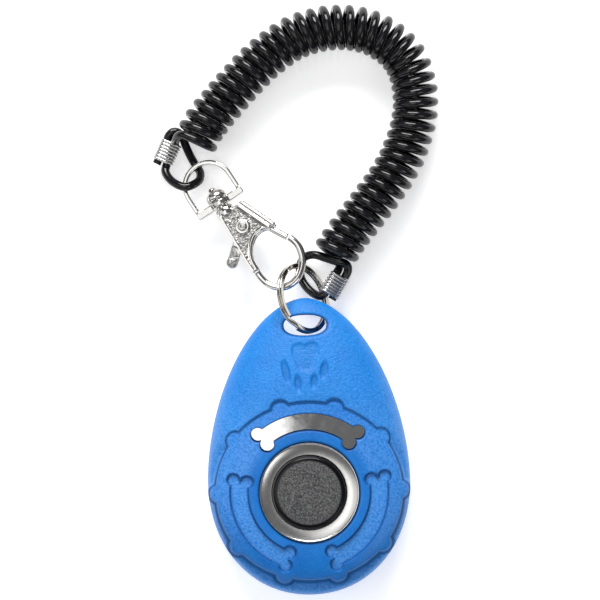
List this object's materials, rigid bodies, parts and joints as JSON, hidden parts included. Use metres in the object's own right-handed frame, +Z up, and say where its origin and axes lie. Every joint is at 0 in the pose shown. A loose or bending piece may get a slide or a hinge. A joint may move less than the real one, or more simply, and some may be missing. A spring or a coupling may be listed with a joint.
{
  "type": "clicker trainer",
  "caption": "Egg-shaped training clicker with a round push button in a metal bezel, hung by a split ring from a coiled wrist cord that closes with a swivel trigger snap.",
  "frame": {"origin": "on the flat back of the case, on the button axis, with the case lying on its back", "axes": "+X to the right of the case seen from its face, +Y from the button to the eyelet nose, +Z up out of the face through the button"},
  "size_m": [0.0637, 0.1301, 0.0173],
  "materials": {
    "blue_abs_front": "azure ABS, finely textured dome with a glossier scalloped panel",
    "blue_abs_rear": "azure ABS, fine texture",
    "bezel_chrome": "polished conical ring",
    "button_grey": "dark grey speckled soft-touch cap with a black glossy rim",
    "spring_steel": "polished spring steel",
    "screw_zinc": "zinc plated",
    "ring_nickel": "nickel plated spring wire",
    "clip_nickel": "nickel plated zinc casting, grainy in its recesses",
    "rivet_nickel": "nickel plated, headed over",
    "gate_nickel": "plated, with a dull thumb tab",
    "gate_spring_steel": "music wire",
    "sleeve_tinned": "bright tinned metal, ridged by the crimping tool",
    "cord_black_pu": "glossy black extruded polyurethane cord"
  },
  "bodies": {
    "clicker_case": {"front_shell": "blue_abs_front", "rear_shell": "blue_abs_rear", "bezel_ring": "bezel_chrome", "blade_screw_1": "screw_zinc", "blade_screw_2": "screw_zinc", "case_screw_1": "screw_zinc", "case_screw_2": "screw_zinc", "case_screw_3": "screw_zinc"},
    "button": {"button_cap": "button_grey"},
    "blade": {"click_blade": "spring_steel"},
    "ring": {"split_ring": "ring_nickel"},
    "strap": {"wrist_coil": "cord_black_pu", "cord_loop_a": "cord_black_pu", "cord_loop_b": "cord_black_pu", "crimp_sleeve_a": "sleeve_tinned", "crimp_sleeve_b": "sleeve_tinned"},
    "bow": {"swivel_bow": "clip_nickel"},
    "clip": {"clip_body": "clip_nickel", "swivel_rivet": "rivet_nickel", "gate_rivet": "rivet_nickel", "gate_spring": "gate_spring_steel"},
    "gate": {"clip_gate": "gate_nickel"}
  },
  "joints": [
    {"name": "button_press", "type": "slide", "parent": "clicker_case", "child": "button", "axis": [0, 0, -1], "range_m": [0, 0.0016], "stiffness_N_per_m": 1500, "springref_m": -0.0005},
    {"name": "blade_flex", "type": "hinge", "parent": "clicker_case", "child": "blade", "pos_m": [0, 0.023, 0.00898], "axis": [1, 0, 0], "range_deg": [0, 4]},
    {"name": "ring_swing", "type": "hinge", "parent": "clicker_case", "child": "ring", "pos_m": [0, 0.0385, 0.007], "axis": [1, 0, 0], "range_deg": [-30, 5]},
    {"name": "strap_slide", "type": "hinge", "parent": "ring", "child": "strap", "pos_m": [-0.0003, 0.0424, 0.007], "axis": [0.7432, 0.2272, 0.6293], "range_deg": [-15, 60]},
    {"name": "bow_swing", "type": "hinge", "parent": "strap", "child": "bow", "pos_m": [-0.02306, 0.07195, 0.00386], "axis": [0.849, 0.5284, 0], "range_deg": [-1.5, 1.5]},
    {"name": "swivel_turn", "type": "hinge", "parent": "bow", "child": "clip", "pos_m": [-0.01798, 0.0638, 0.00521], "axis": [0.5233, -0.8407, 0.1392], "range_deg": [-4, 22]},
    {"name": "gate_open", "type": "hinge", "parent": "clip", "child": "gate", "pos_m": [-0.01306, 0.05835, 0.00622], "axis": [0.0735, -0.1182, -0.9903], "range_deg": [0, 25], "stiffness_Nm_per_rad": 0.04, "springref_deg": -14.32}
  ],
  "couplings": [
    {"joint": "blade_flex", "follows": "button_press", "rad_per_m": 43.478}
  ]
}
